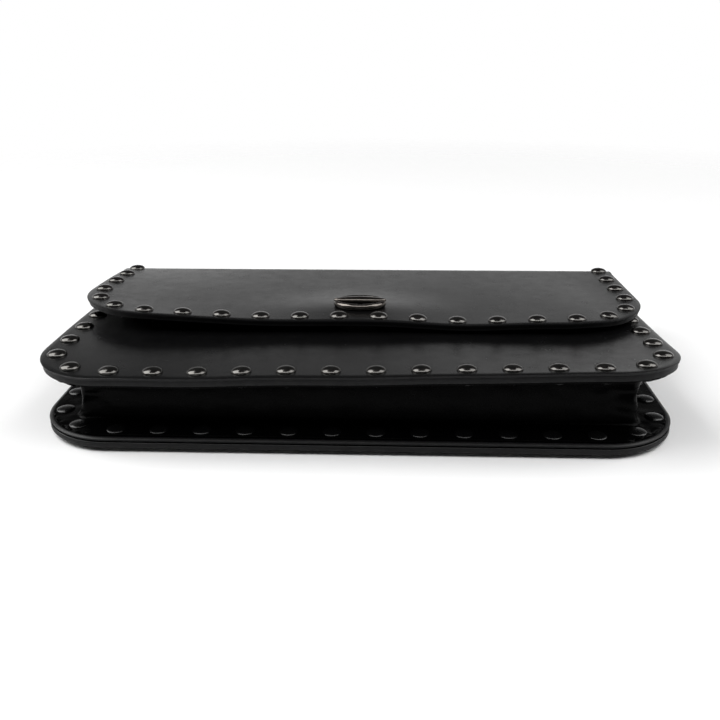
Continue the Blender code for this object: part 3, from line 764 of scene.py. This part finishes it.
def stitch_row(bm, start, end, radius=STITCH_RADIUS, length=STITCH_LENGTH, pitch=STITCH_PITCH):
    """Slanted stitches laid end to end between two points."""
    run = Vector(end) - Vector(start)
    count = int(run.length / pitch)
    shoulder, drop = radius * 0.8, length * 0.42
    section = [(0.0, -length / 2), (shoulder, -drop), (radius, 0.0), (shoulder, drop), (0.0, length / 2)]
    along = run.normalized().to_track_quat("Z", "Y").to_matrix().to_4x4()
    lay = along @ Matrix.Rotation(STITCH_SLANT, 4, "Y")
    for index in range(count):
        centre = Vector(start) + run * (index + 0.5) / count
        spun_profile(bm, section, 8, Matrix.Translation(centre) @ lay)


def pocket_pieces():
    """The slip pocket, sewn down along its sides and its bottom, and its card leaves, each with a row of
    stitches along its top.
    """
    flat_piece("pocket_hide", "slip_pocket", 0.004, 0.00022, INNER, "inner_leather")
    threads = bmesh.new()
    low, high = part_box("slip_pocket")
    side, near, top = high.x - SEAM_INSET, low.y + SEAM_INSET, high.z
    for start, end in (
        ((-side, high.y - 0.002, top), (-side, near + 0.002, top)),
        ((-side + 0.002, near, top), (side - 0.002, near, top)),
        ((side, near + 0.002, top), (side, high.y - 0.002, top)),
    ):
        stitch_row(threads, start, end)
    for count in (1, 2, 3):
        node = f"card_leaf_{count}"
        flat_piece(f"card_slot_hide_{count}", node, 0.003, 0.00016, INNER, "inner_leather")
        low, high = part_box(node)
        upper = high.y - 0.0018
        stitch_row(threads, (-high.x + 0.003, upper, high.z), (high.x - 0.003, upper, high.z))
    made = piece("pocket_stitches", threads, THREAD, "inner_leather", 60)
    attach(made, "body")


def front_inner(x, y):
    return front_top(x, y) - PANEL_THICKNESS - PLY_GAP


def linings():
    flat_piece("back_cloth", "back_lining", 0.0109, 0.00016, TWILL, "lining_cloth")
    flat_piece("front_cloth", "front_lining", 0.0109, 0.00016, TWILL, "lining_cloth", front_inner)


def ring_and_tab(label, side):
    """A D ring on its folded leather tab, sewn above the rivet."""
    low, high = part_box(f"ring_tab_{label}")
    middle = Vector(((low.x + high.x) / 2, high.y - TAB_LOOP, (low.z + high.z) / 2))
    ply = TAB_LOOP - TAB_EYE
    radius = (TAB_LOOP + TAB_EYE) / 2
    line = [(radius, -TAB_TAIL + 0.0012 * step) for step in range(12)]
    for step in range(25):
        angle = math.radians(248) * step / 24
        line.append((radius * math.cos(angle), radius * math.sin(angle)))
    inner = 0.00088
    line += [(inner - 0.0004, -0.0030)] + [(inner, -0.0044 - 0.0012 * step) for step in range(9)]
    bm = bmesh.new()
    width = high.z - low.z
    row = [bm.verts.new((side * x, y, -width / 2)) for x, y in line]
    carried(bm, [bm.edges.new(pair) for pair in zip(row, row[1:])], (0, 0, width), 8)
    bmesh.ops.translate(bm, verts=bm.verts[:], vec=middle)
    bmesh.ops.recalc_face_normals(bm, faces=bm.faces[:])
    made = piece(f"tab_hide_{label}", bm, INNER, "inner_leather", 60)
    thicken(made, ply * 0.94)
    round_edges(made, 0.00024, 3)
    settle(made, 60)
    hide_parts(f"ring_tab_{label}")
    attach(made, "body")

    threads = bmesh.new()
    face = middle.x + side * (TAB_LOOP - 0.00005)
    for z in (-0.0026, 0.0026):
        start = (face, middle.y - TAB_TAIL + 0.0012, middle.z + z)
        stitch_row(threads, start, (face, middle.y - 0.0034, middle.z + z), 0.0002, 0.0018, 0.0024)
    made = piece(f"tab_stitches_{label}", threads, THREAD, "inner_leather", 60)
    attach(made, "body")

    ring = bmesh.new()
    bmesh.ops.create_circle(ring, cap_ends=False, segments=14, radius=RING_WIRE)
    edges = ring.edges[:]
    straight = RING_HALF - RING_BEND
    edges = carried(ring, edges, (0, 0, straight), 6)
    edges = turned(ring, edges, (0, RING_BEND, straight), 8, -math.pi / 2, (1, 0, 0))
    edges = carried(ring, edges, (0, RING_SIDE - RING_BEND, 0), 5)
    edges = turned(ring, edges, (0, RING_SIDE, 0), 26, -math.pi, (1, 0, 0))
    edges = carried(ring, edges, (0, RING_BEND - RING_SIDE, 0), 5)
    edges = turned(ring, edges, (0, RING_BEND, -straight), 8, -math.pi / 2, (1, 0, 0))
    carried(ring, edges, (0, 0, straight), 6)
    bmesh.ops.remove_doubles(ring, verts=ring.verts[:], dist=1e-6)
    bmesh.ops.translate(ring, verts=ring.verts[:], vec=middle)
    bmesh.ops.recalc_face_normals(ring, faces=ring.faces[:])
    made = piece(f"d_ring_{label}", ring, CLASP_METAL, "clasp_metal", 60)
    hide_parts(f"chain_ring_{label}")
    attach(made, f"ring_{label}")


# Studs and the rivets behind them.


def spun_profile(bm, profile, steps, matrix):
    """A profile of (radius, height) turned about its axis, then put in place."""
    part = bmesh.new()
    row = [part.verts.new((radius, 0.0, height)) for radius, height in profile]
    edges = [part.edges.new(pair) for pair in zip(row, row[1:])]
    bmesh.ops.spin(
        part, geom=row + edges, cent=(0, 0, 0), axis=(0, 0, 1), angle=2 * math.pi, steps=steps,
        dvec=(0, 0, 0), use_merge=True,
    )
    bmesh.ops.remove_doubles(part, verts=part.verts[:], dist=1e-7)
    bmesh.ops.recalc_face_normals(part, faces=part.faces[:])
    bmesh.ops.transform(part, matrix=matrix, verts=part.verts[:])
    merge(bm, part)


def dome(radius, rise, skirt, steps=9):
    """Half the section of a low dome with a short upright skirt."""
    section = []
    for step in range(steps + 1):
        angle = 0.5 * math.pi * step / steps
        section.append((radius * math.sin(angle), skirt + (rise - skirt) * math.cos(angle) ** 1.15))
    return section + [(radius, 0.0), (0.0, 0.0)]


def resting(point, normal, turn=0.0):
    """A matrix with its Z along the normal at a point."""
    upright = Vector(normal).to_track_quat("Z", "Y").to_matrix().to_4x4()
    return Matrix.Translation(point) @ upright @ Matrix.Rotation(turn, 4, "Z")


def slope_of(surface, x, y, reach=0.002):
    """The upward normal of a surface height(x, y)."""
    across = (surface(x + reach, y) - surface(x - reach, y)) / (2 * reach)
    along = (surface(x, y + reach) - surface(x, y - reach)) / (2 * reach)
    return Vector((-across, -along, 1)).normalized()


def stud_spots(half, near, far, corner, inset):
    """(count, side, x, y) at one pitch along the edge, both ways from the middle of the bottom edge."""
    straight = half - corner
    turn = corner - inset
    arc = 0.5 * math.pi * turn
    whole = straight + arc + far - near - corner
    count = 0
    while (count + 0.5) * STUD_PITCH + STUD_RADIUS <= whole:
        run = (count + 0.5) * STUD_PITCH
        if run < straight:
            x, y = run, near + inset
        elif run < straight + arc:
            angle = (run - straight) / turn
            x, y = straight + turn * math.sin(angle), near + corner - turn * math.cos(angle)
        else:
            x, y = half - inset, near + corner + run - straight - arc
        for side, label in ((-1, "left"), (1, "right")):
            yield count + 1, label, side * x, y
        count += 1


def stud(name, point, normal, turn, body, nodes):
    """One domed cap, in place of the nodes that it stands for."""
    bm = bmesh.new()
    spun_profile(bm, dome(STUD_RADIUS, STUD_RISE, 0.00022), 28, resting(point, normal, turn))
    made = piece(name, bm, STUD_METAL, "stud_metal", 50)
    if nodes:
        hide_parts(*nodes)
    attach(made, body)


def studs():
    back_end = BACK_CENTRE[0] - 0.0003
    for count, label, x, y in stud_spots(HALF_WIDTH, BOTTOM_EDGE, back_end, CORNER, STUD_INSET):
        nodes = ("back_studs",) if (count, label) == (1, "left") else ()
        stud(f"back_stud_{label}_{count:02d}", (x, y, OUTER_FACE), (0, 0, -1), count, "body", nodes)
    for count, label, x, y in stud_spots(HALF_WIDTH, BOTTOM_EDGE, MOUTH, CORNER, STUD_INSET):
        nodes = ("front_studs",) if (count, label) == (1, "left") else ()
        up = slope_of(front_top, x, y)
        stud(f"front_stud_{label}_{count:02d}", (x, y, front_top(x, y)), up, count * 1.7, "body", nodes)
    for count, label, x, y in stud_spots(FLAP_HALF, FLAP_EDGE, FLAP_START, FLAP_CORNER, FLAP_STUD_INSET):
        up = slope_of(flap_top, x, y)
        node = f"flap_stud_{label}_{count:02d}"
        stud(f"flap_cap_{label}_{count:02d}", (x, y, flap_top(x, y)), up, count * 1.1, "flap", (node,))
    straight = FLAP_HALF - FLAP_CORNER + 0.5 * math.pi * (FLAP_CORNER - FLAP_STUD_INSET)
    flat = straight + FLAP_START - FLAP_EDGE - FLAP_CORNER
    for count, body in ((FLAP_STUDS + 1, "flap"), (FLAP_STUDS + 2, "spine")):
        over = (count - 0.5) * STUD_PITCH - flat
        angle = max(0.0, 0.5 * math.pi - over / UPPER_FOLD)
        y, z = bend(TOP_CENTRE, UPPER_FOLD, angle, 0.0)
        z -= max(0.0, over - UPPER_ARC)
        for side, label in ((-1, "left"), (1, "right")):
            node = f"flap_stud_{label}_{count:02d}" if body == "flap" else f"spine_stud_{label}"
            where = (side * (FLAP_HALF - FLAP_STUD_INSET), y, z)
            out = (0, math.cos(angle), math.sin(angle))
            stud(f"fold_cap_{label}_{count:02d}", where, out, 0.4, body, (node,))


def rivet_backs():
    """The rivets' backs, felt as flat domes through the leather on the inside of each panel."""
    back_spots = stud_spots(HALF_WIDTH, BOTTOM_EDGE, BACK_CENTRE[0], CORNER, STUD_INSET)
    front_spots = stud_spots(HALF_WIDTH, BOTTOM_EDGE, MOUTH, CORNER, STUD_INSET)
    flap_spots = stud_spots(FLAP_HALF, FLAP_EDGE, FLAP_START, FLAP_CORNER, FLAP_STUD_INSET)
    rows = (
        ("back_rivet_backs", back_spots, "body"),
        ("front_rivet_backs", front_spots, "body"),
        ("flap_rivet_backs", flap_spots, "flap"),
    )
    for name, spots, body in rows:
        bm = bmesh.new()
        rise = FRONT_RIVET_RISE if name.startswith("front") else RIVET_RISE
        section = dome(RIVET_RADIUS, rise, 0.0002, 7)
        for count, label, x, y in spots:
            if name.startswith("back"):
                base = OUTER_FACE + PANEL_THICKNESS + PLY_GAP + GUSSET_LEATHER - RIVET_SINK
                matrix = resting((x, y, base), (0, 0, 1), count)
            elif name.startswith("front"):
                base = front_top(x, y) - PANEL_THICKNESS - PLY_GAP - GUSSET_LEATHER + RIVET_SINK
                matrix = resting((x, y, base), -slope_of(front_top, x, y), count)
            else:
                base = flap_top(x, y) - FLAP_BOARD_DEPTH - FLAP_BOARD + RIVET_SINK
                matrix = resting((x, y, base), -slope_of(flap_top, x, y), count)
            spun_profile(bm, section, 24, matrix)
        made = piece(name, bm, FACING if body == "flap" else BUMPS, "gusset_leather", 60)
        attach(made, body)


# The clasp.


def oval(bm, half, wire, centre, around=72, across=16):
    """A round wire bent to an oval."""
    part = bmesh.new()
    ring = bmesh.ops.create_circle(part, cap_ends=False, segments=across, radius=wire)["verts"]
    bmesh.ops.rotate(part, verts=ring, cent=(0, 0, 0), matrix=Matrix.Rotation(math.pi / 2, 3, "X"))
    bmesh.ops.translate(part, verts=ring, vec=(half[0], 0, 0))
    bmesh.ops.spin(
        part, geom=part.verts[:] + part.edges[:], cent=(0, 0, 0), axis=(0, 0, 1), angle=2 * math.pi,
        steps=around, dvec=(0, 0, 0), use_merge=True,
    )
    for vert in part.verts:
        flat = Vector((vert.co.x, vert.co.y, 0))
        spoke = flat.normalized()
        onto = Vector((spoke.x * half[0], spoke.y * half[1], 0))
        vert.co = onto + spoke * (flat.length - half[0]) + Vector((0, 0, vert.co.z))
    bmesh.ops.remove_doubles(part, verts=part.verts[:], dist=1e-7)
    bmesh.ops.recalc_face_normals(part, faces=part.faces[:])
    bmesh.ops.translate(part, verts=part.verts[:], vec=centre)
    merge(bm, part)


def clasp():
    """An oval ring round a bowl plated nearly black as painted shade of its recess, with the turning bar
    across it.
    """
    top = flap_top(0.0, CLASP_Y)
    tilt = math.atan2(flap_top(0, CLASP_Y + 0.01) - flap_top(0, CLASP_Y - 0.01), 0.02)
    lean = Matrix.Translation((0, CLASP_Y, top)) @ Matrix.Rotation(tilt, 4, "X")
    ring = bmesh.new()
    oval(ring, CLASP_HALF, CLASP_WIRE, (0, 0, CLASP_WIRE * OVAL_SEAT))
    bmesh.ops.transform(ring, matrix=lean, verts=ring.verts[:])
    made = piece("clasp_oval", ring, CLASP_METAL, "clasp_metal", 60)
    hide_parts("clasp_ring")
    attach(made, "flap")

    plate = bmesh.new()
    section = [*BOWL_HEIGHTS, (1.0, 0.0), (0.0, 0.0)]
    oval_scale = Matrix.Diagonal((CLASP_HALF[0], CLASP_HALF[1], 1.0, 1.0))
    spun_profile(plate, section, 56, lean @ oval_scale)
    # The bowl takes the nearly black plating: painted shade of the recess under the ring and bar.
    made = piece("clasp_bowl", plate, BOWL_PAINTED_SHADE, "clasp_metal", 60)
    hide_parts("clasp_dish")
    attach(made, "flap")

    knob = bmesh.new()
    reach = CLASP_HALF[0] + CLASP_WIRE
    steps = 16
    bar = []
    for step in range(steps + 1):
        along = math.cos(math.pi * step / steps)
        swell = math.sin(math.pi * step / steps) ** 0.5 * (1 - KNOB_TAPER * abs(along))
        bar.append((KNOB_RADIUS * swell, along * reach))
    lift = Matrix.Translation((0, 0, 2 * CLASP_WIRE * KNOB_SEAT)) @ Matrix.Diagonal(KNOB_SHAPE)
    spun_profile(knob, bar, 24, lean @ lift @ Matrix.Rotation(math.pi / 2, 4, "Y"))
    made = piece("clasp_knob", knob, CLASP_METAL, "clasp_metal", 60)
    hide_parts("clasp_bar")
    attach(made, "clasp")


# Everything else that stays as the frame has it, with its own finish.


def dress_frame_nodes():
    """The small metal nodes keep their shape and take the plating of their neighbours."""
    finishes = {
        "tab_rivet_left": STUD_METAL,
        "tab_rivet_right": STUD_METAL,
        "clasp_backing": CLASP_METAL,
        "clasp_spindle": CLASP_METAL,
        "clasp_cam": CLASP_METAL,
        "strike_plate": CLASP_METAL,
        "strike_washer": CLASP_METAL,
    }
    for node, finish in finishes.items():
        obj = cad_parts[node]
        obj.data.materials.clear()
        obj.data.materials.append(finish)


# The studio.


def camera():
    """Before the bottom edge, a little right of the middle, looking down at the wallet."""
    place = Vector((0.0123, -0.30755, 0.1363))
    turn, pitch, roll = 0.041, 0.397, -0.005
    ahead = Vector((-math.sin(turn) * math.cos(pitch), math.cos(turn) * math.cos(pitch), -math.sin(pitch)))
    level = Vector((math.cos(turn), math.sin(turn), 0))
    upright = level.cross(ahead)
    right = math.cos(roll) * level + math.sin(roll) * upright
    up = math.cos(roll) * upright - math.sin(roll) * level
    data = bpy.data.cameras.new("camera")
    data.lens = 40.0
    data.sensor_width = 36.0
    data.clip_start = 0.01
    data.clip_end = 50.0
    made = bpy.data.objects.new("camera", data)
    bpy.context.scene.collection.objects.link(made)
    made.matrix_world = Matrix.Translation(place) @ Matrix((right, up, -ahead)).transposed().to_4x4()
    bpy.context.scene.camera = made


def floor():
    """A round sheet of white paper that fades into the white round it."""
    bm = bmesh.new()
    bmesh.ops.create_circle(bm, cap_ends=True, segments=96, radius=FLOOR_RADIUS)
    mesh = bpy.data.meshes.new("floor")
    bm.to_mesh(mesh)
    bm.free()
    made = bpy.data.objects.new("floor", mesh)
    bpy.context.scene.collection.objects.link(made)
    paper, tree, shader, where = new_finish("white_paper")
    tone = noise_node(tree, where, 3.0, 2.0)
    tree.links.new(two_tone(tree, tone, (0.91, 0.91, 0.91), (0.93, 0.93, 0.93)), shader.inputs["Base Color"])
    shader.inputs["Roughness"].default_value = 0.9
    shader.inputs["Specular IOR Level"].default_value = 0.1
    distance = tree.nodes.new("ShaderNodeVectorMath")
    distance.operation = "LENGTH"
    tree.links.new(where, distance.inputs[0])
    solid = spread(tree, distance.outputs["Value"], 1.0, 0.0, 0.30 * FLOOR_RADIUS, 0.85 * FLOOR_RADIUS)
    tree.links.new(solid, shader.inputs["Alpha"])
    mesh.materials.append(paper)


def soft_light(name, place, target, size, power):
    data = bpy.data.lights.new(name, "AREA")
    data.shape = "RECTANGLE"
    data.size, data.size_y = size
    data.energy = power
    made = bpy.data.objects.new(name, data)
    bpy.context.scene.collection.objects.link(made)
    made.location = place
    made.rotation_euler = (Vector(target) - Vector(place)).to_track_quat("-Z", "Y").to_euler()


def studio():
    """A bright low backdrop behind the paper, dim overhead and on the camera's side, and three soft lights."""
    world = bpy.data.worlds.new("studio")
    bpy.context.scene.world = world
    world.use_nodes = True
    tree = world.node_tree
    background = tree.nodes["Background"]
    where = tree.nodes.new("ShaderNodeTexCoord").outputs["Generated"]
    parts = tree.nodes.new("ShaderNodeSeparateXYZ")
    tree.links.new(where, parts.inputs["Vector"])
    dim = spread(tree, parts.outputs["Y"], low=0.17, high=0.62, from_low=-0.45, from_high=0.30)
    high = spread(tree, parts.outputs["Z"], low=1.0, high=0.12, from_low=0.16, from_high=0.40)
    product = tree.nodes.new("ShaderNodeMath")
    product.operation = "MULTIPLY"
    tree.links.new(dim, product.inputs[0])
    tree.links.new(high, product.inputs[1])
    shade = two_tone(tree, product.outputs["Value"], (0.0, 0.0, 0.0), (1.0, 1.0, 1.0))
    seen = tree.nodes.new("ShaderNodeLightPath").outputs["Is Camera Ray"]
    pick = tree.nodes.new("ShaderNodeMix")
    pick.data_type = "RGBA"
    pick.inputs["B"].default_value = (1.0, 1.0, 1.0, 1.0)
    tree.links.new(seen, pick.inputs["Factor"])
    tree.links.new(shade, pick.inputs["A"])
    tree.links.new(pick.outputs["Result"], background.inputs["Color"])
    background.inputs["Strength"].default_value = 1.0
    soft_light("left_light", (-1.0, 0.05, 1.05), (0, 0, 0), (1.2, 1.2), 20.0)
    soft_light("right_light", (1.0, 0.0, 1.05), (0, 0, 0), (1.2, 1.2), 13.0)
    soft_light("front_light", (0.0, -0.6, 1.35), (0, 0, 0), (1.4, 0.5), 7.0)
    bpy.context.scene.view_settings.view_transform = "Standard"


camera()
studio()
floor()
back_pieces()
front_pieces()
flap_pieces()
gusset()
gusset_inner()
linings()
studs()
rivet_backs()
pocket_pieces()
ring_and_tab("left", -1)
ring_and_tab("right", 1)
clasp()
dress_frame_nodes()
